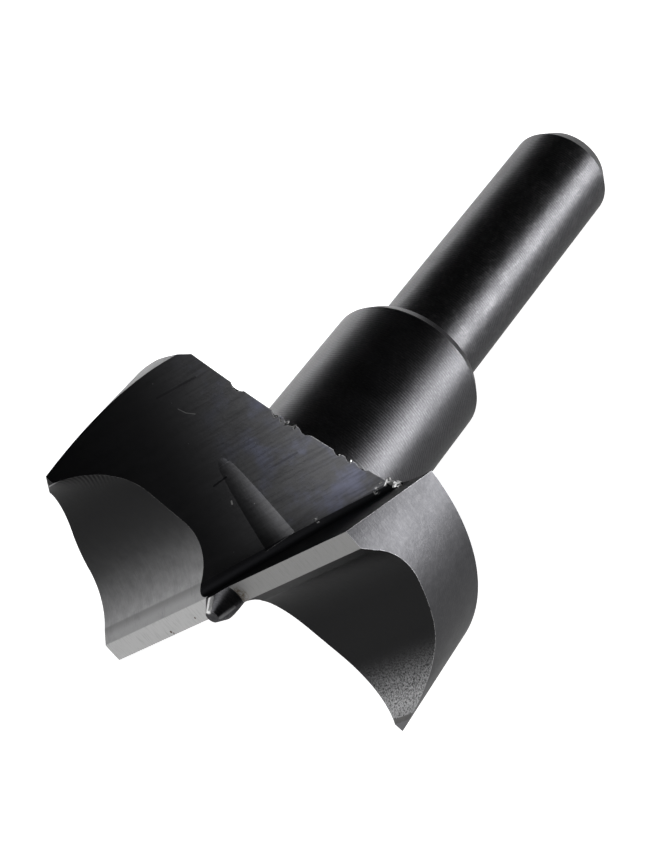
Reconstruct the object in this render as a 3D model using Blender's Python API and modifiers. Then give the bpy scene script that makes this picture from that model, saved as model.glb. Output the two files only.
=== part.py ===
"""Two-wing cylinder-head boring cutter for wood, turned and milled from one bar of tool steel.

The tool is built standing on its cutting end, with +Z along its axis towards the shank and the
two cutting lips in the plane z = 0. Lip one runs out along +X, and its wing trails towards +Y.
Wing two is wing one turned half a turn about the axis. The finished tool is then laid on its
side, as it comes to rest on a table. Lengths are in metres and angles in degrees.
"""
import math

import bmesh
import bpy
from mathutils import Matrix, Vector

NODE_NAME = "boring_cutter"

# Shank, held in the drill chuck
SHANK_RADIUS = 0.00475
SHANK_END = 0.0627
SHANK_CHAMFER_LENGTH = 0.0017
SHANK_CHAMFER_DROP = 0.00097

# Collar between the shank and the head
COLLAR_RADIUS = 0.00708
COLLAR_END = 0.0312
COLLAR_CHAMFER_LENGTH = 0.0010
COLLAR_CHAMFER_DROP = 0.00061

# Head, which narrows a little towards its back so that it runs free in the hole
HEAD_RADIUS = 0.0175
HEAD_BACK = 0.01058
HEAD_BACK_RELIEF = 0.0003

# Lips, which lie ahead of the axis, and the front of each wing behind its lip
LIP_OFFSET = 0.00092
LAND_WIDTH = 0.00173
FACET_WIDTH = 0.00097
FACET_ANGLE = 44.0
HOLLOW_DEPTH = 0.00315
HOLLOW_RADIUS = 0.0060
SPUR_INSET = 0.0005
SPUR_HEIGHT = 0.0004

# Chip pockets, milled with a round-cornered disc that lies flat against the rake face
RAKE_ANGLE = 14.0
RAMP_RADIUS = 0.0414
RAMP_PAST_AXIS = 0.0030
RAMP_REACH = 0.01275
POCKET_FILLET = 0.00087

# Centre point, a blunt turned cone that stands on the web between the lips
POINT_LENGTH = 0.00205
POINT_TIP_RADIUS = 0.0006
POINT_BASE_RADIUS = 0.0018
POINT_SEAT = 0.00015

# Fineness of the round forms, and how far a cutter reaches past what it cuts
TURNED_STEPS = 144
DISC_STEPS = 176
FILLET_STEPS = 5
POINT_STEPS = 40
ARC_STEPS = 9
OVERCUT = 0.004
MERGE_DISTANCE = 0.000001
SMOOTH_ANGLE = 25.0

HALF_TURN = math.pi


def clear_scene():
    for old in list(bpy.data.objects):
        bpy.data.objects.remove(old, do_unlink=True)


def new_collection(name):
    collection = bpy.data.collections.new(name)
    bpy.context.scene.collection.children.link(collection)
    return collection


def move_to(obj, collection):
    for user in list(obj.users_collection):
        user.objects.unlink(obj)
    collection.objects.link(obj)


def as_cutter(obj, collection):
    move_to(obj, collection)
    obj.hide_render = True
    obj.display_type = "WIRE"


def evaluated_mesh(obj, name):
    depsgraph = bpy.context.evaluated_depsgraph_get()
    mesh = bpy.data.meshes.new_from_object(obj.evaluated_get(depsgraph))
    mesh.name = name
    return mesh


def blackened_steel():
    material = bpy.data.materials.new("blackened_steel")
    material.use_nodes = True
    shader = material.node_tree.nodes["Principled BSDF"]
    shader.inputs["Base Color"].default_value = (0.045, 0.045, 0.05, 1.0)
    shader.inputs["Metallic"].default_value = 0.9
    shader.inputs["Roughness"].default_value = 0.32
    return material


def head_radius_at(z):
    """Radius of the head's relieved side, widest at the front."""
    return HEAD_RADIUS - HEAD_BACK_RELIEF * z / HEAD_BACK


def turned_blank(collection):
    """Head, collar and shank as they leave the lathe, from one profile that runs top to bottom."""
    profile = [
        (0.0, SHANK_END),
        (SHANK_RADIUS - SHANK_CHAMFER_DROP, SHANK_END),
        (SHANK_RADIUS, SHANK_END - SHANK_CHAMFER_LENGTH),
        (SHANK_RADIUS, COLLAR_END),
        (COLLAR_RADIUS - COLLAR_CHAMFER_DROP, COLLAR_END),
        (COLLAR_RADIUS, COLLAR_END - COLLAR_CHAMFER_LENGTH),
        (COLLAR_RADIUS, HEAD_BACK),
        (head_radius_at(HEAD_BACK), HEAD_BACK),
        (head_radius_at(-SPUR_HEIGHT), -SPUR_HEIGHT),
        (0.0, -SPUR_HEIGHT),
    ]
    mesh = bpy.data.meshes.new("turned_profile")
    points = [(r, 0.0, z) for r, z in profile]
    edges = [(i, i + 1) for i in range(len(profile) - 1)]
    mesh.from_pydata(points, edges, [])
    blank = bpy.data.objects.new("turned_blank", mesh)
    collection.objects.link(blank)

    screw = blank.modifiers.new("turn", "SCREW")
    screw.axis = "Z"
    screw.angle = math.tau
    screw.steps = TURNED_STEPS
    screw.render_steps = TURNED_STEPS
    screw.use_merge_vertices = True
    screw.merge_threshold = MERGE_DISTANCE
    return blank


def ramp_centre():
    """Centre of the pocket disc in the plane of the rake face.

    The first number runs along the lip from the axis, the second down the rake face from the
    lip. The disc's round meets the lips' plane RAMP_PAST_AXIS beyond the axis, and the head's
    back RAMP_REACH out from it.
    """
    start = Vector((-RAMP_PAST_AXIS, 0.0))
    end = Vector((RAMP_REACH, HEAD_BACK / math.cos(math.radians(RAKE_ANGLE))))
    chord = end - start
    rise = math.sqrt(RAMP_RADIUS ** 2 - (chord.length / 2) ** 2)
    across = Vector((chord.y, -chord.x)).normalized()
    return (start + end) / 2 + across * rise


def pocket_cutter(index, collection):
    """Disc whose flat side makes the rake face and whose rim makes the ramp behind the other wing."""
    rake = math.radians(RAKE_ANGLE)
    down_face = Vector((0.0, math.sin(rake), math.cos(rake)))
    off_face = Vector((0.0, -math.cos(rake), math.sin(rake)))
    width = HEAD_RADIUS + 2 * OVERCUT
    along, down = ramp_centre()
    lip_point = Vector((0.0, -LIP_OFFSET, 0.0))
    centre = lip_point + Vector((along, 0.0, 0.0)) + down_face * down + off_face * (width / 2)

    bpy.ops.mesh.primitive_cylinder_add(vertices=DISC_STEPS, radius=RAMP_RADIUS, depth=width)
    disc = bpy.context.object
    disc.name = f"pocket_disc_{index + 1}"
    corner = disc.modifiers.new("corner_round", "BEVEL")
    corner.limit_method = "ANGLE"
    corner.angle_limit = math.radians(60)
    corner.width = POCKET_FILLET
    corner.segments = FILLET_STEPS
    place = Matrix.Translation(centre) @ off_face.to_track_quat("Z", "Y").to_matrix().to_4x4()
    disc.matrix_world = Matrix.Rotation(index * HALF_TURN, 4, "Z") @ place
    as_cutter(disc, collection)
    return disc


def arc(centre_y, centre_z, start, end):
    """Points of a round of the hollow, from one angle to another, both ends included."""
    points = []
    for step in range(ARC_STEPS + 1):
        angle = start + (end - start) * step / ARC_STEPS
        y = centre_y + HOLLOW_RADIUS * math.cos(angle)
        z = centre_z + HOLLOW_RADIUS * math.sin(angle)
        points.append((y, z))
    return points


def front_outline():
    """Outline of what is ground off the front, as distances back from the lip and down from it.

    It has the flat land at the lip, the facet behind the land, and the hollow: a round, a flat
    floor and a second round that rises steeply to the spur at the rim.
    """
    round_z = HOLLOW_DEPTH - HOLLOW_RADIUS
    facet_y = LAND_WIDTH + FACET_WIDTH
    facet_z = FACET_WIDTH * math.tan(math.radians(FACET_ANGLE))
    # The first round passes through the foot of the facet and is tangent to the floor
    first_y = facet_y + math.sqrt(HOLLOW_RADIUS ** 2 - (facet_z - round_z) ** 2)
    first_angle = math.atan2(facet_z - round_z, facet_y - first_y)
    last_y = HEAD_RADIUS - SPUR_INSET - HOLLOW_RADIUS

    outline = [(-OVERCUT, -OVERCUT), (-OVERCUT, 0.0), (LAND_WIDTH, 0.0)]
    outline += arc(first_y, round_z, first_angle, math.pi / 2)
    outline += arc(last_y, round_z, math.pi / 2, 0.0)
    outline.append((last_y + HOLLOW_RADIUS, -OVERCUT))
    return outline


def front_cutter(index, collection):
    """Extruded outline that grinds the front of one wing, straight along the lip."""
    curve = bpy.data.curves.new("front_outline", "CURVE")
    curve.dimensions = "2D"
    curve.fill_mode = "BOTH"
    reach = HEAD_RADIUS + OVERCUT
    curve.extrude = reach / 2
    outline = front_outline()
    spline = curve.splines.new("POLY")
    spline.points.add(len(outline) - 1)
    for point, (back, down) in zip(spline.points, outline):
        point.co = (back - LIP_OFFSET, down, 0.0, 1.0)
    spline.use_cyclic_u = True
    flat = bpy.data.objects.new("front_outline", curve)
    collection.objects.link(flat)
    bpy.context.view_layer.update()

    mesh = evaluated_mesh(flat, f"front_grind_{index + 1}")
    bpy.data.objects.remove(flat, do_unlink=True)
    shape = bmesh.new()
    shape.from_mesh(mesh)
    bmesh.ops.remove_doubles(shape, verts=shape.verts, dist=MERGE_DISTANCE)
    bmesh.ops.recalc_face_normals(shape, faces=shape.faces)
    shape.to_mesh(mesh)
    shape.free()

    cutter = bpy.data.objects.new(f"front_grind_{index + 1}", mesh)
    collection.objects.link(cutter)
    # The outline's own x, y and thickness become the tool's y, z and x
    stand = Matrix(((0, 0, 1, reach / 2), (1, 0, 0, 0), (0, 1, 0, 0), (0, 0, 0, 1)))
    cutter.matrix_world = Matrix.Rotation(index * HALF_TURN, 4, "Z") @ stand
    as_cutter(cutter, collection)
    return cutter


def centre_point(collection):
    """Blunt cone, sunk POINT_SEAT into the web, whose sides the chip pockets then cut back."""
    slope = (POINT_BASE_RADIUS - POINT_TIP_RADIUS) / POINT_LENGTH
    bpy.ops.mesh.primitive_cone_add(
        vertices=POINT_STEPS,
        radius1=POINT_TIP_RADIUS,
        radius2=POINT_BASE_RADIUS + slope * POINT_SEAT,
        depth=POINT_LENGTH + POINT_SEAT,
        location=(0.0, 0.0, (POINT_SEAT - POINT_LENGTH) / 2),
    )
    point = bpy.context.object
    point.name = "centre_point"
    as_cutter(point, collection)
    return point


def add_boolean(blank, other, operation):
    modifier = blank.modifiers.new(other.name, "BOOLEAN")
    modifier.operation = operation
    modifier.solver = "EXACT"
    modifier.object = other


def volume_centre(mesh):
    """Centre of the solid, summed over the pyramids from the origin to each triangle."""
    mesh.calc_loop_triangles()
    total = 0.0
    moment = Vector((0.0, 0.0, 0.0))
    for triangle in mesh.loop_triangles:
        a, b, c = (mesh.vertices[i].co for i in triangle.vertices)
        volume = a.dot(b.cross(c)) / 6
        total += volume
        moment += (a + b + c) * (volume / 4)
    return moment / total


def holds_weight(face, centre):
    """Whether the centre of the solid lies straight above the face, inside its outline."""
    normal = face.normal
    corners = [vertex.co for vertex in face.verts]
    for here, after in zip(corners, corners[1:] + corners[:1]):
        if (after - here).cross(centre - here).dot(normal) < 0:
            return False
    return True


def resting_pose(mesh):
    """Place of the tool lying on its side with a pocket down and the shank towards +X.

    It rests on the widest face of its convex hull that holds the weight, which spans the lower
    pocket and the end of the shank. The origin is under the middle of the tool, on the table.
    """
    hull = bmesh.new()
    hull.from_mesh(mesh)
    result = bmesh.ops.convex_hull(hull, input=hull.verts)
    faces = [item for item in result["geom"] if isinstance(item, bmesh.types.BMFace)]
    centre = volume_centre(mesh)
    stable = [face for face in faces if face.normal.y > 0 and holds_weight(face, centre)]
    widest = max(stable, key=lambda face: face.calc_area())
    lay_down = widest.normal.rotation_difference(Vector((0.0, 0.0, -1.0))).to_matrix()
    hull.free()

    shank = lay_down @ Vector((0.0, 0.0, 1.0))
    swing = Matrix.Rotation(-math.atan2(shank.y, shank.x), 3, "Z")
    turn = swing @ lay_down
    placed = [turn @ vertex.co for vertex in mesh.vertices]
    low = Vector([min(point[axis] for point in placed) for axis in range(3)])
    high = Vector([max(point[axis] for point in placed) for axis in range(3)])
    shift = Vector((-(low.x + high.x) / 2, -(low.y + high.y) / 2, -low.z))
    return Matrix.Translation(shift) @ turn.to_4x4()


def build():
    clear_scene()
    tool = new_collection("Boring cutter")
    cutters = new_collection("Cutters")

    blank = turned_blank(tool)
    for index in range(2):
        add_boolean(blank, front_cutter(index, cutters), "DIFFERENCE")
    add_boolean(blank, centre_point(cutters), "UNION")
    for index in range(2):
        add_boolean(blank, pocket_cutter(index, cutters), "DIFFERENCE")
    bpy.context.view_layer.update()

    mesh = evaluated_mesh(blank, NODE_NAME)
    bpy.data.objects.remove(blank, do_unlink=True)
    mesh.shade_smooth()
    mesh.set_sharp_from_angle(angle=math.radians(SMOOTH_ANGLE))
    mesh.materials.clear()
    mesh.materials.append(blackened_steel())
    cutter = bpy.data.objects.new(NODE_NAME, mesh)
    tool.objects.link(cutter)

    rest = bpy.data.objects.new("rest_on_table", None)
    rest.empty_display_size = HEAD_RADIUS
    tool.objects.link(rest)
    rest.matrix_world = resting_pose(mesh)
    cutter.parent = rest
    for part in cutters.objects:
        part.parent = rest
    bpy.context.view_layer.update()


build()
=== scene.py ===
# %% [markdown]
# # A boring cutter for wood, lying on a white table
#
# The tool is one piece of steel: a round shank, a thicker collar and a wide, short head with two
# wings. A lathe makes its round form, a milling cutter plunges in twice to make the chip pockets,
# the whole is blackened, and last a grinding wheel bares the steel on the front of each wing.
# The script makes the same cuts, so every edge is a place where two real cuts meet.

import math

import bpy
from mathutils import Matrix, Vector


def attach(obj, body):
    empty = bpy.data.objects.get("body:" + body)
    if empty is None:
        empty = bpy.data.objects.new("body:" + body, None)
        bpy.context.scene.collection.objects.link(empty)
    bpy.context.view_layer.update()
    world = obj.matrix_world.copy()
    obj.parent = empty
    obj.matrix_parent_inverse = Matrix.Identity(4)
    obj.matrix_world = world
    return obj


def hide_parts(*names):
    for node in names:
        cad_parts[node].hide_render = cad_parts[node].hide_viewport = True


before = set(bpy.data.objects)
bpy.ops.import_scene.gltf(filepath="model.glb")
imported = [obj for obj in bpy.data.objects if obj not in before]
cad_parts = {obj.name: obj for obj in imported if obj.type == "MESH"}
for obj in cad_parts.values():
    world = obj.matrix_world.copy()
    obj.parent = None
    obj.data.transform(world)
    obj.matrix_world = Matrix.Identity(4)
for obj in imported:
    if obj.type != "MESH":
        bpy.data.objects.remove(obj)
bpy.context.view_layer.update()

# %% [markdown]
# ## How the tool lies
#
# Turned and milled parts are drawn upright, on their own axis. So the tool is built with its lips
# in the plane z = 0, its shank towards +Z and lip one along +X, and is laid down at the end. It
# rests on the lower chip pocket and on the end of the shank, which leans the axis over.

# %% The tool's place on the table
TOOL_LEAN = math.radians(99.418)
TOOL_SPIN = math.radians(214.963)
TOOL_PLACE = Vector((-0.030022, 0.0, 0.014668))

lay_down = (
    Matrix.Translation(TOOL_PLACE)
    @ Matrix.Rotation(TOOL_LEAN, 4, "Y")
    @ Matrix.Rotation(TOOL_SPIN, 4, "Z")
)
print("shank points along", lay_down.to_3x3() @ Vector((0, 0, 1)))

# %% [markdown]
# ## Sizes
#
# These are the tool's own sizes, in metres, the same as those of the packed model. A designer
# keeps them at the top, so that a form which is cut twice is described once.

# %% Sizes of the tool
MM = 0.001
SHANK_RADIUS = 4.75 * MM
SHANK_END = 62.7 * MM
SHANK_CHAMFER = (1.7 * MM, 0.97 * MM)
COLLAR_RADIUS = 7.08 * MM
COLLAR_END = 31.2 * MM
COLLAR_CHAMFER = (1.0 * MM, 0.61 * MM)
HEAD_RADIUS = 17.5 * MM
HEAD_BACK = 10.58 * MM
HEAD_RELIEF = 0.3 * MM
LIP_OFFSET = 0.92 * MM
LAND_WIDTH = 1.73 * MM
FACET_WIDTH = 0.97 * MM
FACET_ANGLE = math.radians(44)
HOLLOW_DEPTH = 3.15 * MM
HOLLOW_RADIUS = 6.0 * MM
SPUR_INSET = 0.5 * MM
SPUR_HEIGHT = 0.4 * MM
RAKE_ANGLE = math.radians(14)
RAMP_RADIUS = 41.4 * MM
RAMP_PAST_AXIS = 3.0 * MM
RAMP_REACH = 12.75 * MM
POCKET_FILLET = 0.87 * MM
POINT_LENGTH = 2.05 * MM
POINT_TIP = 0.6 * MM
POINT_BASE = 1.8 * MM
POINT_SEAT = 0.15 * MM
OVERCUT = 4.0 * MM
MERGE = 0.001 * MM
print("tool length", SHANK_END + POINT_LENGTH, "head across", 2 * HEAD_RADIUS)

# %% [markdown]
# ## Shader maths as plain expressions
#
# A procedural finish is mostly sums. Wrapping a socket in a small class lets a mask be written
# as `1 - wear * 0.4`, and each operator adds its Math node.

# %% A small class for shader maths
class Wire:
    """A socket of a finish, with the operators that add Math nodes."""

    def __init__(self, finish, socket):
        self.finish = finish
        self.socket = socket

    def math(self, operation, *values):
        return self.finish.node("ShaderNodeMath", {"operation": operation}, dict(enumerate(values)))

    def __add__(self, other):
        return self.math("ADD", self, other)

    __radd__ = __add__

    def __mul__(self, other):
        return self.math("MULTIPLY", self, other)

    __rmul__ = __mul__

    def __sub__(self, other):
        return self.math("SUBTRACT", self, other)

    def __rsub__(self, other):
        return self.math("SUBTRACT", other, self)

    def __pow__(self, other):
        return self.math("POWER", self, other)

    def sine(self):
        return self.math("SINE", self)

    def exponent(self):
        return self.math("EXPONENT", self)

    def at_least(self, low):
        return self.math("MAXIMUM", self, low)

    def at_most(self, high):
        return self.math("MINIMUM", self, high)

    def above(self, low, high):
        """0 below low, 1 above high and a smooth step between."""
        return self.finish.node(
            "ShaderNodeMapRange",
            {"interpolation_type": "SMOOTHSTEP", "clamp": True},
            {"Value": self, "From Min": low, "From Max": high, "To Min": 0.0, "To Max": 1.0},
        )


print("a wire can", [name for name in vars(Wire) if not name.startswith("_")])


# %% [markdown]
# ## A finish, node by node
#
# A finish is a material with one shader. One method makes any node: it sets the node's choices
# first and then feeds its sockets, with a number, a colour or another node's wire. The other
# methods only give short names to the nodes that steel needs again and again. A grain is a noise
# with its scale, its detail and its roughness, and streaks are a grain that has its own scale
# along each direction, so that it is drawn out or squeezed.

# %% A class for a finish
class Finish:
    """A material that is made node by node."""

    def __init__(self, name):
        self.material = bpy.data.materials.new(name)
        self.material.use_nodes = True
        self.tree = self.material.node_tree
        self.shader = self.tree.nodes["Principled BSDF"]

    def node(self, kind, settings=None, inputs=None, out=0):
        made = self.tree.nodes.new(kind)
        for key, value in (settings or {}).items():
            setattr(made, key, value)
        for key, value in (inputs or {}).items():
            self.feed(made.inputs[key], value)
        return Wire(self, made.outputs[out])

    def feed(self, socket, value):
        if isinstance(value, Wire):
            self.tree.links.new(value.socket, socket)
        else:
            socket.default_value = value

    def set(self, **values):
        """Feeds the shader's sockets; an underscore stands for a space."""
        for key, value in values.items():
            self.feed(self.shader.inputs[key.replace("_", " ")], value)

    def split(self, vector):
        first = self.node("ShaderNodeSeparateXYZ", None, {0: vector})
        return [Wire(self, output) for output in first.socket.node.outputs]

    def join(self, x, y, z):
        return self.node("ShaderNodeCombineXYZ", None, {"X": x, "Y": y, "Z": z})

    def vector(self, operation, first, second, out=0):
        settings = {"operation": operation}
        return self.node("ShaderNodeVectorMath", settings, {0: first, 1: second}, out)

    def grain(self, vector, scale, detail, roughness):
        return self.node(
            "ShaderNodeTexNoise",
            None,
            {"Vector": vector, "Scale": scale, "Detail": detail, "Roughness": roughness},
        )

    def streaks(self, spot, scales, detail, roughness):
        stretched = [part * scale for part, scale in zip(spot, scales)]
        return self.grain(self.join(*stretched), 1.0, detail, roughness)

    def mix(self, factor, first, second):
        """Colour between two colours."""
        inputs = {"Factor": factor, 6: first, 7: second}
        return self.node("ShaderNodeMix", {"data_type": "RGBA"}, inputs, out=2)

    def bump(self, height, distance):
        return self.node("ShaderNodeBump", None, {"Height": height, "Distance": distance})

    def done(self):
        print(self.material.name, "has", len(self.tree.nodes), "nodes")
        return self.material


print("a finish can", [name for name in vars(Finish) if not name.startswith("_")])

# %% [markdown]
# ## What every finish of the tool shares
#
# The pattern has to stay on the tool, wherever it lies, so each finish first turns a point back
# to the upright tool and counts in millimetres. On that place it can put single marks, such as a
# rust speck or a scratch. Handling rubs the black off sharp edges, and the pale colour put along
# them is partly a painted highlight of edges catching light. A Bevel node rounds the normal
# there, and where it differs from the real one the surface is near an edge.

# %% A class for the tool's finishes
EDGE_BAND = 0.07 * MM
EDGE_SAMPLES = 6
EDGE_TURNED = (0.01, 0.12)
EDGE_PATCH_GRAIN = (1.6, 4.0, 0.75)
DOT_CORE = 0.5
LINE_CORE = 0.4


class ToolFinish(Finish):
    """A finish that reads places on the upright tool, in millimetres."""

    def place(self):
        """Where a point lies on the upright tool, from the middle of the lips."""
        return self.node(
            "ShaderNodeMapping",
            {"vector_type": "TEXTURE"},
            {
                "Vector": self.node("ShaderNodeTexCoord", out="Object"),
                "Location": TOOL_PLACE,
                "Rotation": lay_down.to_euler("XYZ"),
                "Scale": (MM, MM, MM),
            },
        )

    def dot_mark(self, place, middle, radius):
        """1 at one place on the tool, 0 beyond the radius."""
        gap = self.vector("DISTANCE", place, middle, out=1)
        return 1 - gap.above(radius * DOT_CORE, radius)

    def line_mark(self, place, start, end, width):
        """1 along the straight line between two places, 0 beyond its width."""
        start, end = Vector(start), Vector(end)
        along = end - start
        offset = self.vector("SUBTRACT", place, start)
        share = self.vector("DOT_PRODUCT", offset, along / along.length_squared, out=1)
        share = share.at_least(0.0).at_most(1.0)
        nearest = self.vector("MULTIPLY", self.join(share, share, share), along)
        gap = self.vector("DISTANCE", offset, nearest, out=1)
        return 1 - gap.above(width * LINE_CORE, width)

    def line_marks(self, place, lines):
        """A mark for each line, which gives its start, end, width and strength."""
        return [
            self.line_mark(place, start, end, width) * strength
            for start, end, width, strength in lines
        ]

    def worn_edge_and_highlight(self, place):
        """1 in patches along the sharp edges: black rubbed away by handling, and partly a painted
        highlight.
        """
        rounded = self.node("ShaderNodeBevel", {"samples": EDGE_SAMPLES}, {"Radius": EDGE_BAND})
        facing = self.node("ShaderNodeNewGeometry", out="Normal")
        turned_away = 1 - self.vector("DOT_PRODUCT", rounded, facing, out=1)
        patches = self.grain(place, *EDGE_PATCH_GRAIN)
        return turned_away.above(*EDGE_TURNED) * patches.above(0.34, 0.52)


print("wear reaches", EDGE_BAND / MM, "mm in from a sharp edge")


# %% [markdown]
# ## Turned and blackened steel
#
# The shank, the collar and the rim of the head show the lathe: fine grooves that run round the
# tool, one for each turn, under a thin black oxide with oil in it. A sine of the place along the
# axis cuts the grooves, and streaks that are squeezed along the axis break them into dashes.
# Drawers and chucks rub pale smears and long slanting scratches into the shank, so those streaks
# are drawn out along it. Two near-white stripes on the side of the centre point are painted
# highlights. The top of each spur is ground, and the two get colours of their own.

# %% Finish: turned black
OXIDE = (0.044, 0.044, 0.047, 1)
OXIDE_RUBBED = (0.1, 0.099, 0.103, 1)
EDGE_BARE_AND_HIGHLIGHT = (0.2, 0.2, 0.21, 1)
POINT_HIGHLIGHT = (0.95, 0.95, 0.95, 1)
SPUR_TOPS = [(0.03, 0.03, 0.03, 1), (0.15, 0.15, 0.155, 1)]
GRAZING = (0.7, 0.7, 0.7, 1)
GROOVE_PITCH = 0.27
GROOVE_DEPTH = 0.005 * MM
RIM_FROM, RIM_FULL = 90, 100
SHANK_FROM, SHANK_FULL = 30.0, 33.0
SPUR_TOP_FROM, SPUR_TOP_FULL = -0.39, -0.396
AXIS_BLEND = 0.1
DEPTH_STREAKS = ((0.15, 0.15, 1.1), 2.0, 0.5)
DASH_STREAKS = ((1.3, 1.3, 9.0), 3.0, 0.65)
FINE_STREAKS = ((3.0, 3.0, 14.0), 3.0, 0.7)
SMEAR_STREAKS = ((1.5, 1.5, 0.6), 6.0, 0.75)
SPECKLE_GRAIN = (5.0, 3.0, 0.6)
CLOUD_GRAIN = (0.35, 4.0, 0.6)
RIM_GRAIN = (2.0, 5.0, 0.75)
SCRATCH_GRAIN = (1.0, 4.0, 0.7)
# Two painted highlights on the side of the centre point, each with its start, end, width and
# strength
POINT_HIGHLIGHT_STRIPES = [
    ((0.22, -1.08, -1.05), (0.05, -0.62, -2.02), 0.4, 1.0),
    ((0.55, 0.42, -1.85), (1.3, 0.6, -0.8), 0.26, 0.1),
]


def turned_black():
    finish = ToolFinish("turned_black_steel")
    place = finish.place()
    x, y, z = spot = finish.split(place)
    rim = (x * x + y * y).above(RIM_FROM, RIM_FULL)
    on_shank = z.above(SHANK_FROM, SHANK_FULL)

    grooves = (z * (math.tau / GROOVE_PITCH)).sine()
    depth = finish.streaks(spot, *DEPTH_STREAKS)
    dashes = finish.streaks(spot, *DASH_STREAKS)
    fine = finish.streaks(spot, *FINE_STREAKS)
    speckle = finish.grain(place, *SPECKLE_GRAIN)
    height = grooves * depth * (1.2 - rim) + (dashes + fine) * (1.4 - rim) + speckle * rim * 2.0

    cloud = finish.grain(place, *CLOUD_GRAIN).above(0.3, 0.75)
    smear = finish.streaks(spot, *SMEAR_STREAKS).above(0.46, 0.66)
    mottle = finish.grain(place, *RIM_GRAIN).above(0.4, 0.7)
    slanting = finish.join(x * 2.4 + z * 1.5, y * 2.4 - z * 1.2, z * 0.3)
    scratch = finish.grain(slanting, *SCRATCH_GRAIN).above(0.54, 0.66) * on_shank
    rubbed = smear * dashes.above(0.35, 0.6) * (on_shank * 0.4 + 0.1) + fine.above(0.42, 0.7) * 0.5
    rubbed = (rubbed + scratch * 0.3) * (1 - rim) + rim * mottle * 0.22

    shade = finish.mix(rubbed, OXIDE, OXIDE_RUBBED)
    spur_top = finish.mix(x.above(-AXIS_BLEND, AXIS_BLEND), *SPUR_TOPS)
    shade = finish.mix(rim * (1 - z.above(SPUR_TOP_FULL, SPUR_TOP_FROM)), shade, spur_top)
    # Pale colour along sharp edges: rubbed oxide, and partly a painted highlight
    shade = finish.mix(finish.worn_edge_and_highlight(place), shade, EDGE_BARE_AND_HIGHLIGHT)
    # Near-white stripes on the side of the centre point: painted highlights
    highlight_stripes = sum(finish.line_marks(place, POINT_HIGHLIGHT_STRIPES))
    finish.set(
        Base_Color=finish.mix(highlight_stripes, shade, POINT_HIGHLIGHT),
        Metallic=1.0,
        Specular_Tint=GRAZING,
        Roughness=0.24 + cloud * 0.06 + dashes * 0.1 + scratch * 0.08 + rim * 0.05,
        Normal=finish.bump(height, GROOVE_DEPTH),
    )
    return finish.done()


TURNED = turned_black()


# %% [markdown]
# ## Milled and blackened steel
#
# The chip pocket is cut by the rim of a milling disc. Its teeth leave fine lines that run up the
# ramp, its stops leave a few deeper ones, and the oxide on this rougher face turns a little blue.
# Chips have left light scratches and pits, and a little dust lies on it. Both pockets are the
# same, so the place is first turned into the frame of the first one, and the marks are given once.

# %% Finish: milled black
MILLED_BLACK = (0.036, 0.036, 0.0375, 1)
MILLED_BLUE = (0.046, 0.048, 0.064, 1)
MILLED_DARK = (0.008, 0.008, 0.009, 1)
SCRATCH_BARE = (0.2, 0.2, 0.2, 1)
MILLED_DEPTH = 0.005 * MM
DEEP_LINES = [
    ((1.11, -15.19, 7.66), (3.93, -14.55, 9.75), 0.16, 0.6),
    ((1.32, -7.01, 5.8), (2.3, -6.94, 6.6), 0.12, 1.0),
    ((5.6, -9.2, 9.4), (7.0, -8.9, 10.1), 0.16, 0.5),
    ((4.6, -5.4, 8.1), (7.4, -5.0, 9.6), 0.14, 0.45),
]
LIGHT_SCRATCHES = [
    ((1.89, -13.47, 7.89), (2.19, -12.83, 7.99), 0.05, 0.35),
    ((2.19, -12.83, 7.99), (2.66, -12.32, 8.23), 0.05, 0.35),
    ((1.7, -5.0, 5.65), (1.78, -5.2, 5.72), 0.1, 0.8),
]
PITS = [((6.09, 0.13, 7.55), 0.32), ((11.19, 1.05, 9.99), 0.4), ((5.9, 0.0, 7.5), 0.2)]
POCKET_SLOPE = 0.25
POCKET_BLEND = 0.01
CHANNEL_WIDTH = 1.0
CHANNEL_TAPER = 0.04
TOOTH_STREAKS = ((7.0, 0.5, 1.0), 3.0, 0.65)
BROAD_STREAKS = ((1.2, 0.15, 1.0), 4.0, 0.65)
HATCH_STREAKS = ((3.4, 0.3, 1.0), 4.0, 0.65)
BROAD_SEED, HATCH_SEED = 3.0, 7.0
BLUE_GRAIN = (0.28, 4.0, 0.65)
PORE_GRAIN = (4.0, 3.0, 0.7)
DUST_GRAIN = (2.6, 2.0, 0.5)


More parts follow.
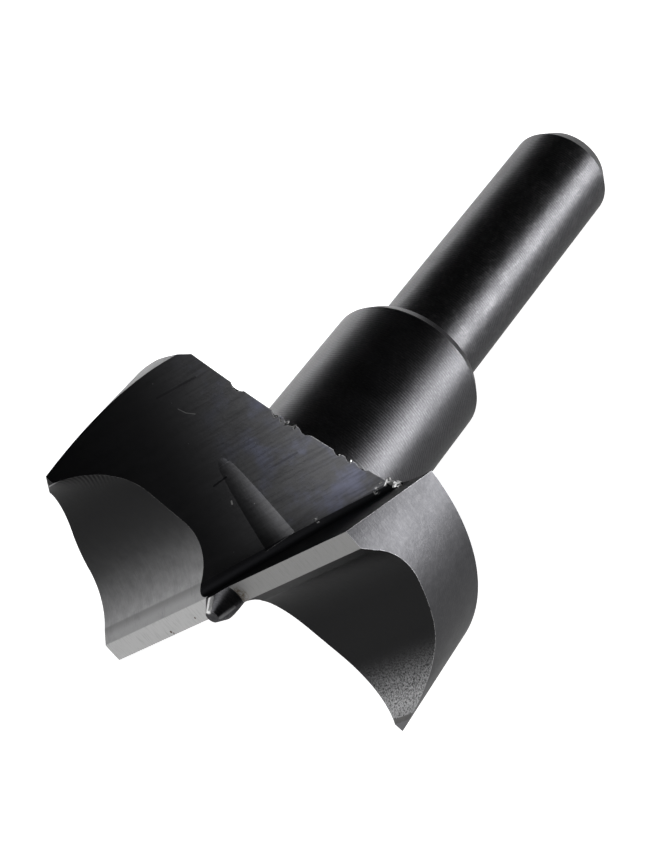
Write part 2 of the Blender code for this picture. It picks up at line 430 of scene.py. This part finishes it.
def milled_black():
    finish = ToolFinish("milled_black_steel")
    place = finish.place()
    x, y, z = finish.split(place)
    side = (x * POCKET_SLOPE - y).above(-POCKET_BLEND, POCKET_BLEND) * 2 - 1
    x_here = x * side
    here = finish.join(x_here, y * side, z)

    # How far a point lies off the rake face; the channel at its foot is rougher, and its near black
    # colour is painted shade
    across = z * math.sin(RAKE_ANGLE) - y * side * math.cos(RAKE_ANGLE)
    off_rake = across - LIP_OFFSET / MM * math.cos(RAKE_ANGLE) + x_here * CHANNEL_TAPER
    rough_channel_shade = 1 - off_rake.above(CHANNEL_WIDTH - 0.04, CHANNEL_WIDTH + 0.02)

    fine = finish.streaks((across, x, 0.0), *TOOTH_STREAKS)
    broad = finish.streaks((across, x, BROAD_SEED), *BROAD_STREAKS)
    hatch = finish.streaks((across, x, HATCH_SEED), *HATCH_STREAKS).above(0.4, 0.7)
    hatch = hatch * x_here.above(0.0, 5.0)
    blue = finish.grain(place, *BLUE_GRAIN).above(0.44, 0.68) * x_here.above(1.5, 6.0)
    speckle = finish.grain(place, *PORE_GRAIN)

    # Dark hatch and deep lines, plus painted shade that darkens the pocket towards the axis
    dark_marks_and_shade = hatch * 0.34 + (1 - x_here.above(-1.0, 4.5)) * 0.6
    for line in finish.line_marks(here, DEEP_LINES):
        dark_marks_and_shade = dark_marks_and_shade.at_least(line)
    # Pale colour along sharp edges: rubbed oxide, and partly a painted highlight
    light = finish.worn_edge_and_highlight(place) * 0.45
    for line in finish.line_marks(here, LIGHT_SCRATCHES):
        light = light.at_least(line)
    dust = finish.grain(place, *DUST_GRAIN).above(0.77, 0.8)
    light = light.at_least(dust * 0.4)
    for middle, radius in PITS:
        pit = finish.dot_mark(here, middle, radius) * speckle.above(0.5, 0.62)
        light = light.at_least(pit)

    shade = finish.mix(blue, MILLED_BLACK, MILLED_BLUE)
    shade = finish.mix(dark_marks_and_shade.at_most(1.0), shade, MILLED_DARK)
    # Painted shade: the channel at the foot of the rake face gets a near black colour
    shade = finish.mix(rough_channel_shade, shade, MILLED_DARK)
    height = (fine + speckle) * (1 - rough_channel_shade) + broad - dark_marks_and_shade * 1.3
    finish.set(
        Base_Color=finish.mix(light, shade, SCRATCH_BARE),
        Metallic=1.0,
        Specular_Tint=GRAZING,
        Roughness=0.22 + fine * 0.08 + broad * 0.06 + speckle * 0.08 + rough_channel_shade * 0.2,
        Normal=finish.bump(height, MILLED_DEPTH),
    )
    return finish.done()


MILLED = milled_black()


# %% [markdown]
# ## Ground steel
#
# The front of each wing is ground last. The narrow land behind the lip is bare and bright, with
# marks across it, and the land of wing one is a darker copy of it, which is painted shade. On wing
# two a grey band of painted shade lies along the facet's back, where it creases into the hollow,
# and bare steel fades from the facet into the dark satin of the hollow. On wing one bare steel
# comes back, through a fine grit, only where the hollow climbs to the spur. Both of these bare
# zones are painted only on the wing whose slope catches the light, so they are partly painted
# highlights. Damp has left rust specks and a tan patch.

# %% Finish: ground steel
LAND_BRIGHT = (0.5, 0.5, 0.5, 1)
LAND_SHADED = (0.26, 0.259, 0.256, 1)
GRAIN_AND_CREASE_SHADE = (0.14, 0.14, 0.14, 1)
HOLLOW_DARK = (0.014, 0.014, 0.0145, 1)
HOLLOW_BARE_HIGHLIGHT = (0.36, 0.36, 0.365, 1)
SPUR_BARE_HIGHLIGHT = (0.58, 0.58, 0.59, 1)
RUST = (0.07, 0.035, 0.02, 1)
TAN = (0.12, 0.1, 0.075, 1)
GROUND_DEPTH = 0.004 * MM
RUST_SPECKS = [((-8.8, 0.55, 0.0), 0.16), ((-8.62, 0.75, 0.0), 0.1), ((-4.86, 0.31, 0.0), 0.12)]
TAN_PATCH = ((2.1, 0.1, 0.0), 0.9)
LAND_FULL, LAND_GONE = 0.02, 0.05
FACET_BACK = (LAND_WIDTH + FACET_WIDTH) / MM
FADE_LENGTH = 1.7
CREASE_BEFORE, CREASE_AFTER = 0.6, 0.15
SPUR_START = 11.0
SPUR_RUN = 5.4
SPUR_CURVE = 3.5
CHATTER_ALONG = (1.977, 2.365)
CHATTER_FROM, CHATTER_FULL = 13.0, 14.5
CHATTER_REACH = 4.0
WHEEL_STREAKS = ((7.0, 0.7, 0.7), 4.0, 0.65)
SATIN_GRAIN = (3.0, 4.0, 0.7)
PATCH_GRAIN = (0.9, 5.0, 0.7)
GRIT_GRAIN = (7.0, 2.0, 0.6)


def ground_steel():
    finish = ToolFinish("ground_steel")
    place = finish.place()
    x, y, z = finish.split(place)
    wing_one = x.above(-AXIS_BLEND, AXIS_BLEND)
    wing_two = 1 - wing_one
    back = y * (wing_one * 2 - 1) + LIP_OFFSET / MM
    land = 1 - z.above(LAND_FULL, LAND_GONE)
    grain = finish.streaks((x, back, z), *WHEEL_STREAKS)
    speckle = finish.grain(place, *SATIN_GRAIN)
    mottle = finish.grain(place, *PATCH_GRAIN)

    # Bare steel fades out behind the land of wing two and comes back at the spur of wing one; each
    # is painted only where that wing's slope catches light, so partly a painted highlight
    past_facet = (back - FACET_BACK).at_least(0.0) * (-1 / FADE_LENGTH)
    run_out_highlight = past_facet.exponent() * wing_two
    bare = run_out_highlight * (0.55 + mottle * 0.9) * (0.75 + grain * 0.5)
    grit = finish.grain(place, *GRIT_GRAIN).above(0.25, 0.7)
    rise = ((back - SPUR_START) * (1 / SPUR_RUN)).at_least(0.0) ** SPUR_CURVE
    spur_bare_highlight = (rise * wing_one * grit * 2.0).at_most(1.0)
    # A grey band along the back of wing two's facet, where it creases into the hollow: painted
    # shade
    before_crease = back.above(FACET_BACK - CREASE_BEFORE, FACET_BACK)
    crease_shade = before_crease * (1 - back.above(FACET_BACK, FACET_BACK + CREASE_AFTER)) * wing_two

    # The wheel chattered where it left the spur of wing two
    chatter_x, chatter_y = CHATTER_ALONG
    ripple = ((x * chatter_x + y * chatter_y) * math.tau).sine()
    near_spur = back.above(CHATTER_FROM, CHATTER_FULL)
    rippled = near_spur * wing_two * (x + CHATTER_REACH).above(-CHATTER_REACH, 0.0)

    # Bare steel behind wing two's land and at wing one's spur: partly a painted highlight
    shade = finish.mix(bare.at_most(1.0), HOLLOW_DARK, HOLLOW_BARE_HIGHLIGHT)
    shade = finish.mix(spur_bare_highlight, shade, SPUR_BARE_HIGHLIGHT)
    # Painted shade along the facet's crease
    shade = finish.mix(crease_shade * 0.55, shade, GRAIN_AND_CREASE_SHADE)
    # The land of wing one gets a darker copy of the bright land colour: painted shade
    land_shade = finish.mix(wing_one, LAND_BRIGHT, LAND_SHADED)
    land_shade = finish.mix(grain.above(0.45, 0.8) * 0.4, land_shade, GRAIN_AND_CREASE_SHADE)
    shade = finish.mix(land, shade, land_shade)
    tan = finish.dot_mark(place, *TAN_PATCH) * speckle.above(0.4, 0.6)
    shade = finish.mix(tan, shade, TAN)
    for middle, radius in RUST_SPECKS:
        shade = finish.mix(finish.dot_mark(place, middle, radius), shade, RUST)
    # Pale colour along sharp edges: rubbed oxide, and partly a painted highlight
    worn_and_highlight = finish.worn_edge_and_highlight(place) * (0.75 - land * 0.6)
    rough_spur = back.above(9.0, 13.0) * wing_one * 0.16
    finish.set(
        Base_Color=finish.mix(worn_and_highlight, shade, LAND_BRIGHT),
        Metallic=1.0,
        Specular_Tint=GRAZING,
        Roughness=0.3 + speckle * 0.08 + grain * 0.08 + rough_spur,
        Normal=finish.bump(grain + speckle * (0.8 + spur_bare_highlight) + ripple * rippled * 4.0, GROUND_DEPTH),
    )
    return finish.done()


GROUND = ground_steel()


# %% [markdown]
# ## Torn steel
#
# Where the disc leaves the steel it tears up small flakes and burrs. The tips of the burrs are
# bare and catch the light, those of the flakes are dull, and the oxide stays in between, so both
# finishes are nothing but a strong speckle.

# %% Finish: burrs and flakes
BURR_BARE = (0.62, 0.62, 0.62, 1)
FLAKE_BARE = (0.16, 0.16, 0.16, 1)
TORN_GRAIN = (3.2, 4.0, 0.7)
TORN_DEPTH = 0.05 * MM


def torn_steel(name, tip):
    finish = ToolFinish(name)
    speckle = finish.grain(finish.place(), *TORN_GRAIN)
    bare = speckle.above(0.36, 0.5)
    finish.set(
        Base_Color=finish.mix(bare, MILLED_DARK, tip),
        Metallic=1.0,
        Specular_Tint=GRAZING,
        Roughness=0.5 - bare * 0.15,
        Normal=finish.bump(speckle, TORN_DEPTH),
    )
    return finish.done()


BURR = torn_steel("torn_burr", BURR_BARE)
FLAKE = torn_steel("torn_flake", FLAKE_BARE)


# %% [markdown]
# ## Working by hand, in code
#
# Operators act on whatever is selected, so every new primitive is added with nothing else
# selected, and is named at once. A finished piece has its place in its mesh and its object at
# the origin.

# %% Helpers for selecting, adding and placing
def clear_selection():
    if bpy.context.object and bpy.context.object.mode != "OBJECT":
        bpy.ops.object.mode_set(mode="OBJECT")
    bpy.ops.object.select_all(action="DESELECT")


def select_only(piece):
    clear_selection()
    piece.select_set(True)
    bpy.context.view_layer.objects.active = piece


def add(name, primitive, **sizes):
    clear_selection()
    primitive(**sizes)
    piece = bpy.context.object
    piece.name = name
    return piece


def pointing(direction):
    """The turn that brings +Z to a direction."""
    return direction.to_track_quat("Z", "Y").to_matrix().to_4x4()


def apply_place(piece, matrix=Matrix.Identity(4)):
    """Moves the mesh and leaves its object at the origin."""
    select_only(piece)
    piece.matrix_world = matrix @ piece.matrix_world
    bpy.ops.object.transform_apply(location=True, rotation=True, scale=True)


def finish_with(piece, material):
    piece.data.materials.clear()
    piece.data.materials.append(material)
    return piece


# %% [markdown]
# ## Drawing an outline
#
# An outline starts as a plane that is merged to one vertex, and is drawn by extruding that vertex
# from corner to corner. The same helper draws the lathe's profile and the grinding wheel's.

# %% Helpers for drawing an outline
def draw(name, corners):
    """A chain of edges through the corners, left in edit mode with all of it selected."""
    piece = add(name, bpy.ops.mesh.primitive_plane_add, size=MM)
    bpy.ops.object.mode_set(mode="EDIT")
    bpy.ops.mesh.select_all(action="SELECT")
    bpy.ops.mesh.merge(type="CENTER")
    bpy.ops.transform.translate(value=corners[0])
    for here, after in zip(corners, corners[1:]):
        step = Vector(after) - Vector(here)
        bpy.ops.mesh.extrude_vertices_move(TRANSFORM_OT_translate={"value": step})
    bpy.ops.mesh.select_all(action="SELECT")
    return piece


def close_up():
    """Merges what meets, turns all faces outwards and leaves edit mode."""
    bpy.ops.mesh.select_all(action="SELECT")
    bpy.ops.mesh.remove_doubles(threshold=MERGE)
    bpy.ops.mesh.normals_make_consistent(inside=False)
    bpy.ops.object.mode_set(mode="OBJECT")


# %% [markdown]
# ## The turned blank
#
# Half of the tool's outline is drawn once, from the end of the shank to the front of the head,
# and spun round the axis, which is what a lathe does.

# %% Turning the blank
TURNED_STEPS = 256


def head_radius_at(z):
    return HEAD_RADIUS - HEAD_RELIEF * z / HEAD_BACK


def turned_blank():
    shank_length, shank_drop = SHANK_CHAMFER
    collar_length, collar_drop = COLLAR_CHAMFER
    profile = [
        (0.0, SHANK_END),
        (SHANK_RADIUS - shank_drop, SHANK_END),
        (SHANK_RADIUS, SHANK_END - shank_length),
        (SHANK_RADIUS, COLLAR_END),
        (COLLAR_RADIUS - collar_drop, COLLAR_END),
        (COLLAR_RADIUS, COLLAR_END - collar_length),
        (COLLAR_RADIUS, HEAD_BACK),
        (head_radius_at(HEAD_BACK), HEAD_BACK),
        (head_radius_at(-SPUR_HEIGHT), -SPUR_HEIGHT),
        (0.0, -SPUR_HEIGHT),
    ]
    blank = draw("cutter", [(r, 0.0, z) for r, z in profile])
    bpy.ops.mesh.spin(steps=TURNED_STEPS, angle=math.tau, center=(0, 0, 0), axis=(0, 0, 1))
    close_up()
    return finish_with(blank, TURNED)


cutter = turned_blank()
print("blank:", len(cutter.data.polygons), "faces, size", tuple(cutter.dimensions))


# %% [markdown]
# ## Cutting
#
# Each cut is a solid in the shape of what a wheel or disc sweeps away, and a Boolean takes it off
# the blank. The exact solver leaves a closed mesh, and the new faces bring their own finish with
# them. The two wings are alike, so a second cut is the first one turned by half a turn.

# %% Cutting or joining two shapes
HALF_TURN = math.pi
QUARTER_TURN = math.pi / 2
WINGS = range(2)


def wing_turn(index):
    return Matrix.Rotation(index * HALF_TURN, 4, "Z")


def cut(piece, other, operation="DIFFERENCE"):
    """Cuts or joins for good, and takes the other shape away."""
    select_only(piece)
    change = piece.modifiers.new(other.name, "BOOLEAN")
    change.operation = operation
    change.solver = "EXACT"
    change.material_mode = "TRANSFER"
    change.object = other
    bpy.ops.object.modifier_apply(modifier=change.name)
    bpy.data.objects.remove(other, do_unlink=True)


def say_faces(when):
    print(when, len(cutter.data.polygons), "faces")


# %% [markdown]
# ## Grinding the front
#
# The front of a wing is one straight grind along its lip: a flat land, a facet behind it, and a
# hollow with a round at each end, which rises steeply to the spur at the rim. So its outline is
# drawn across the lip and extruded along it.

# %% Grinding the wings' fronts
ROUND_STEPS = 30


def round_points(centre_y, centre_z, start, end):
    turns = [start + (end - start) * step / ROUND_STEPS for step in range(ROUND_STEPS + 1)]
    return [
        (centre_y + HOLLOW_RADIUS * math.cos(turn), centre_z + HOLLOW_RADIUS * math.sin(turn))
        for turn in turns
    ]


def grind_outline():
    """Distances back from the lip and down from it."""
    round_z = HOLLOW_DEPTH - HOLLOW_RADIUS
    facet_y = LAND_WIDTH + FACET_WIDTH
    facet_z = FACET_WIDTH * math.tan(FACET_ANGLE)
    first_y = facet_y + math.sqrt(HOLLOW_RADIUS ** 2 - (facet_z - round_z) ** 2)
    first_turn = math.atan2(facet_z - round_z, facet_y - first_y)
    last_y = HEAD_RADIUS - SPUR_INSET - HOLLOW_RADIUS
    outline = [(-OVERCUT, -OVERCUT), (-OVERCUT, 0.0), (LAND_WIDTH, 0.0)]
    outline += round_points(first_y, round_z, first_turn, QUARTER_TURN)
    outline += round_points(last_y, round_z, QUARTER_TURN, 0.0)
    outline.append((last_y + HOLLOW_RADIUS, -OVERCUT))
    return outline


def grinding_block(index):
    corners = [(0.0, back - LIP_OFFSET, down) for back, down in grind_outline()]
    block = draw(f"grind_{index + 1}", corners)
    bpy.ops.mesh.edge_face_add()
    reach = HEAD_RADIUS + OVERCUT
    bpy.ops.mesh.extrude_region_move(TRANSFORM_OT_translate={"value": (reach, 0, 0)})
    close_up()
    apply_place(block, wing_turn(index))
    return finish_with(block, GROUND)


for index in WINGS:
    cut(cutter, grinding_block(index))
say_faces("after grinding:")


# %% [markdown]
# ## The centre point
#
# A blunt cone stands on the web between the lips and holds the tool on its mark. It is a
# primitive cone that is joined on, and the pockets then cut back its sides.

# %% The centre point
POINT_STEPS = 120


def centre_point():
    slope = (POINT_BASE - POINT_TIP) / POINT_LENGTH
    point = add(
        "centre_point",
        bpy.ops.mesh.primitive_cone_add,
        vertices=POINT_STEPS,
        radius1=POINT_TIP,
        radius2=POINT_BASE + slope * POINT_SEAT,
        depth=POINT_LENGTH + POINT_SEAT,
        location=(0.0, 0.0, (POINT_SEAT - POINT_LENGTH) / 2),
    )
    apply_place(point)
    return finish_with(point, TURNED)


cut(cutter, centre_point(), "UNION")
say_faces("with the centre point:")


# %% [markdown]
# ## Milling the chip pockets
#
# One plunge of a round-cornered disc makes a pocket: its flat side leaves the rake face under the
# lip, its rim the hollow ramp behind the other wing, and its rounded corner the fillet between.

# %% Milling the pockets
DISC_STEPS = 480
FILLET_STEPS = 30


def ramp_centre():
    """Centre of the disc, along the lip from the axis and down the rake face from the lip."""
    start = Vector((-RAMP_PAST_AXIS, 0.0))
    end = Vector((RAMP_REACH, HEAD_BACK / math.cos(RAKE_ANGLE)))
    chord = end - start
    rise = math.sqrt(RAMP_RADIUS ** 2 - (chord.length / 2) ** 2)
    across = Vector((chord.y, -chord.x)).normalized()
    return (start + end) / 2 + across * rise


def round_disc(name, width):
    """A disc whose two rims are rounded by the fillet's radius."""
    cylinder = bpy.ops.mesh.primitive_cylinder_add
    disc = add(name, cylinder, vertices=DISC_STEPS, radius=RAMP_RADIUS, depth=width)
    bpy.ops.object.mode_set(mode="EDIT")
    bpy.ops.mesh.select_mode(type="FACE")
    bpy.ops.mesh.select_all(action="DESELECT")
    bpy.ops.object.mode_set(mode="OBJECT")
    for face in disc.data.polygons:
        face.select = abs(face.normal.z) > 0.5
    bpy.ops.object.mode_set(mode="EDIT")
    bpy.ops.mesh.region_to_loop()
    bpy.ops.mesh.bevel(offset=POCKET_FILLET, segments=FILLET_STEPS, affect="EDGES")
    close_up()
    return disc


def milling_disc(index):
    down_face = Vector((0.0, math.sin(RAKE_ANGLE), math.cos(RAKE_ANGLE)))
    off_face = Vector((0.0, -math.cos(RAKE_ANGLE), math.sin(RAKE_ANGLE)))
    width = HEAD_RADIUS + 2 * OVERCUT
    along, down = ramp_centre()
    centre = Vector((along, -LIP_OFFSET, 0.0)) + down_face * down + off_face * (width / 2)
    disc = round_disc(f"milling_disc_{index + 1}", width)
    apply_place(disc, wing_turn(index) @ Matrix.Translation(centre) @ pointing(off_face))
    return finish_with(disc, MILLED)


for index in WINGS:
    cut(cutter, milling_disc(index))
say_faces("after milling:")


# %% [markdown]
# ## The strip on the ramp
#
# On its last pass the disc dipped a little deeper and left a shallow strip down the ramp, which is
# deepest at the web and starts in a small round dimple. A slim cylinder that only just bites makes
# the strip, and a ball makes the dimple.

# %% The strip and its dimple
STRIP_START = Vector((2.73, -7.7, 7.12)) * MM
STRIP_END = Vector((3.18, -0.2, 5.64)) * MM
STRIP_OUT = Vector((0.59, -0.195, -0.78)).normalized()
STRIP_RADIUS = 7.0 * MM
START_DEPTH = 0.03 * MM
END_DEPTH = 0.1 * MM
STRIP_STEPS = 360
DIMPLE_PLACE = Vector((2.68, -7.95, 7.1)) * MM
DIMPLE_RADIUS = 5.0 * MM
DIMPLE_DEPTH = 0.06 * MM
DIMPLE_STEPS = 128


def strip_cutter(index):
    """A cylinder that leans into the ramp, so that the strip widens towards the web."""
    start = STRIP_START + STRIP_OUT * (STRIP_RADIUS - START_DEPTH)
    end = STRIP_END + STRIP_OUT * (STRIP_RADIUS - END_DEPTH)
    strip = add(
        f"strip_{index + 1}",
        bpy.ops.mesh.primitive_cylinder_add,
        vertices=STRIP_STEPS,
        radius=STRIP_RADIUS,
        depth=(end - start).length,
    )
    place = Matrix.Translation((start + end) / 2)
    apply_place(strip, wing_turn(index) @ place @ pointing(end - start))
    return finish_with(strip, MILLED)


def dimple_ball(index):
    ball = add(
        f"dimple_{index + 1}",
        bpy.ops.mesh.primitive_uv_sphere_add,
        segments=DIMPLE_STEPS,
        ring_count=DIMPLE_STEPS // 2,
        radius=DIMPLE_RADIUS,
        location=DIMPLE_PLACE + STRIP_OUT * (DIMPLE_RADIUS - DIMPLE_DEPTH),
    )
    apply_place(ball, wing_turn(index))
    return finish_with(ball, MILLED)


for index in WINGS:
    cut(cutter, strip_cutter(index))
    cut(cutter, dimple_ball(index))
say_faces("after the strips:")


# %% [markdown]
# ## Knocked corners
#
# Two thin corners have met something hard: the tip of the spur of wing two is blunt, and the back
# corner of one ramp is knocked off. A knock leaves a small flat, so each is cut with one flat side
# of a block.

# %% The knocked corners
# Each knock gives a point of its flat, the direction that the flat faces, and the block's size
KNOCKS = [
    ((-6.52, -15.9, -0.4), (-0.53, -0.405, -0.745), 8.0),
    ((4.28, -16.42, 10.37), (0.19, -0.67, 0.7), 12.0),
]


def knock_block(index, middle, outwards, size):
    outwards = Vector(outwards).normalized()
    block = add(f"knock_{index + 1}", bpy.ops.mesh.primitive_cube_add, size=size * MM)
    place = Vector(middle) * MM + outwards * size * MM / 2
    apply_place(block, Matrix.Translation(place) @ pointing(outwards))
    return finish_with(block, TURNED)


for index, knock in enumerate(KNOCKS):
    cut(cutter, knock_block(index, *knock))
say_faces("after the knocks:")


# %% [markdown]
# ## The torn back edge
#
# The disc breaks out at the back of the head, where nothing holds the steel, and the edge comes
# out ragged. Small chips are missing: each is the bite of a coarse ball. Beside them flakes and
# burrs stand up: these are coarse balls too, squashed and turned each in its own way, and joined
# on one after another.

# %% Chips, flakes and burrs
# A chip gives a place a little inside the edge, its ball's radius, and how far the ball reaches
# past that place, all in millimetres. A flake or burr gives its place and its radius.
BACK = HEAD_BACK / MM
EDGE_OUT = Vector((0.96, 0.06, 0.25))
CHIPS = [
    (5.78, -12.1, 0.8, 0.08),
    (7.28, -8.5, 0.45, 0.07),
    (7.75, -7.4, 0.7, 0.09),
    (8.4, -6.2, 0.9, 0.06),
    (9.78, -3.2, 0.45, 0.07),
    (10.3, -2.2, 0.35, 0.07),
    (10.8, -1.4, 0.8, 0.06),
]
FLAKES = [
    (7.3, -8.2, BACK - 0.12, 0.2),
    (7.55, -7.8, BACK - 0.1, 0.17),
    (7.9, -7.3, BACK - 0.15, 0.2),
    (8.2, -6.7, BACK - 0.1, 0.15),
]
BURRS = [
    (9.95, -2.85, BACK, 0.09),
    (10.5, -1.95, BACK, 0.1),
    (11.8, 0.7, BACK - 0.1, 0.2),
    (12.2, 0.95, BACK - 0.05, 0.28),
    (12.6, 1.2, BACK - 0.05, 0.32),
    (13.05, 1.45, BACK - 0.15, 0.32),
    (13.5, 1.65, BACK - 0.35, 0.26),
    (13.9, 1.8, BACK - 0.6, 0.18),
]
ROUND = (1, 1, 1)
SQUASH = (1.6, 0.75, 0.6)
TURN_EACH = (1.1, 0.7, 1.9)


def crumb(name, middle, radius, index, squash, material):
    """A coarse ball, squashed and turned by its own number."""
    lump = add(
        name,
        bpy.ops.mesh.primitive_ico_sphere_add,
        subdivisions=2,
        radius=radius * MM,
        location=Vector(middle) * MM,
        rotation=[index * turn for turn in TURN_EACH],
        scale=squash,
    )
    apply_place(lump)
    return finish_with(lump, material)


for index, (x, y, radius, bite) in enumerate(CHIPS):
    middle = Vector((x, y, BACK)) + EDGE_OUT * (radius - bite)
    cut(cutter, crumb(f"chip_{index + 1}", middle, radius, index, ROUND, MILLED))
for kind, places, material in (("flake", FLAKES, FLAKE), ("burr", BURRS, BURR)):
    for index, (x, y, z, radius) in enumerate(places):
        lump = crumb(f"{kind}_{index + 1}", (x, y, z), radius, index, SQUASH, material)
        cut(cutter, lump, "UNION")
say_faces("after chips, flakes and burrs:")


# %% [markdown]
# ## Laying the tool down
#
# The finished mesh is laid on the table, and takes the place of the packed solid. It is shaded
# smooth only where faces turn by about three degrees or less. The steps of every round are finer
# than that and vanish, while the shallow edges of the strip stay sharp.

# %% Laying the tool down
SMOOTH_ANGLE = math.radians(3.2)

apply_place(cutter, lay_down)
bpy.ops.object.shade_smooth_by_angle(angle=SMOOTH_ANGLE)
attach(cutter, "root")
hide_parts("boring_cutter")
cutter.data.calc_loop_triangles()
print("cutter:", len(cutter.data.loop_triangles), "triangles, size", tuple(cutter.dimensions))


# %% [markdown]
# ## The white table
#
# The photograph has a plain white ground. The floor is a pale sheet whose own brightness, seen by
# the camera and by the metal, brings it up to white, while the light on it still draws a shadow.

# %% The floor
FLOOR_SIZE = 6.0
FLOOR_PALE = (0.8, 0.8, 0.8, 1)
FLOOR_ROUGHNESS = 0.9
GLOW_TO_CAMERA = 0.9
GLOW_TO_METAL = 0.3


def white_table():
    finish = Finish("white_table")
    camera_ray, glossy_ray, clear_ray = (
        finish.node("ShaderNodeLightPath", out=f"Is {kind} Ray")
        for kind in ("Camera", "Glossy", "Transmission")
    )
    level = camera_ray * GLOW_TO_CAMERA + (glossy_ray + clear_ray) * GLOW_TO_METAL
    finish.set(
        Base_Color=FLOOR_PALE,
        Roughness=FLOOR_ROUGHNESS,
        Emission_Color=finish.node("ShaderNodeCombineColor", None, {0: level, 1: level, 2: level}),
        Emission_Strength=1.0,
    )
    return finish.done()


floor = add("floor", bpy.ops.mesh.primitive_plane_add, size=FLOOR_SIZE)
finish_with(floor, white_table())

# %% [markdown]
# ## Light
#
# Glossy black metal shows its surroundings more than its own colour. A dim room keeps the top of
# the shank black, a long soft lamp low on the right draws the bright band along it, and a card in
# front and a weak fill show the grinding. A narrow beam straight down whitens the table behind.

# %% The room and the lamps
ROOM_LEVEL = 0.02
CENTRE = Vector((0.0, 0.0, 0.012))
# Bearing and height in degrees, then distance, width and height in metres, then brightness
LAMPS = {
    "window_lamp": (-47.5, 8, 0.6, 0.5, 0.22, 14.0),
    "front_card": (172, 12, 0.6, 0.7, 0.26, 5.4),
    "fill_lamp": (115, 55, 0.8, 0.6, 0.6, 2.5),
    "table_lamp": (55, 73, 0.3, 0.1, 0.1, 3.4),
}
BEAM_SPREAD = math.radians(10)

world = bpy.data.worlds.new("room")
bpy.context.scene.world = world
world.use_nodes = True
room = world.node_tree.nodes["Background"].inputs
room["Color"].default_value = (1, 1, 1, 1)
room["Strength"].default_value = ROOM_LEVEL


def direction(bearing, height):
    """Unit vector for a compass bearing from +X towards +Y and a height over the table."""
    return Vector((
        math.cos(height) * math.cos(bearing),
        math.cos(height) * math.sin(bearing),
        math.sin(height),
    ))


def soft_lamp(name, bearing, height, distance, width, tall, brightness):
    """A rectangle of even brightness that faces the tool."""
    lamp = bpy.data.lights.new(name, "AREA")
    lamp.shape = "RECTANGLE"
    lamp.size = width
    lamp.size_y = tall
    lamp.energy = brightness * math.pi * width * tall
    holder = bpy.data.objects.new(name, lamp)
    bpy.context.scene.collection.objects.link(holder)
    towards = direction(math.radians(bearing), math.radians(height))
    holder.location = CENTRE + towards * distance
    holder.rotation_euler = towards.to_track_quat("Z", "Y").to_euler()
    return holder


lamps = {name: soft_lamp(name, *values) for name, values in LAMPS.items()}
lamps["table_lamp"].rotation_euler = (0.0, 0.0, 0.0)
lamps["table_lamp"].data.spread = BEAM_SPREAD
print("lamps:", {name: round(lamp.data.energy, 3) for name, lamp in lamps.items()})

# %% [markdown]
# ## Camera
#
# The view was found by matching the tool's outline in the photograph: a long lens that looks down
# at the head from the front and the left.

# %% The camera
VIEW_BEARING = math.radians(-61.516)
VIEW_HEIGHT = math.radians(56.165)
VIEW_ROLL = math.radians(1.883)
VIEW_LENS = 110.763
VIEW_SENSOR = 36.0
VIEW_NEAREST = 0.01
VIEW_PLACE = Vector((-0.120287, -0.05742, 0.198398))


def photo_camera():
    view = bpy.data.cameras.new("photo_camera")
    view.sensor_fit = "VERTICAL"
    view.sensor_height = VIEW_SENSOR
    view.lens = VIEW_LENS
    view.clip_start = VIEW_NEAREST
    holder = bpy.data.objects.new("photo_camera", view)
    bpy.context.scene.collection.objects.link(holder)
    turn = (
        Matrix.Rotation(VIEW_BEARING, 4, "Z")
        @ Matrix.Rotation(QUARTER_TURN - VIEW_HEIGHT, 4, "X")
        @ Matrix.Rotation(VIEW_ROLL, 4, "Z")
    )
    holder.matrix_world = Matrix.Translation(VIEW_PLACE) @ turn
    bpy.context.scene.camera = holder
    return holder


camera = photo_camera()
print("camera axes", [tuple(round(v, 4) for v in row) for row in camera.matrix_world])

# %% [markdown]
# ## The end
#
# The plain Standard view keeps each colour as it is written.

# %% Colour handling
bpy.context.scene.view_settings.view_transform = "Standard"
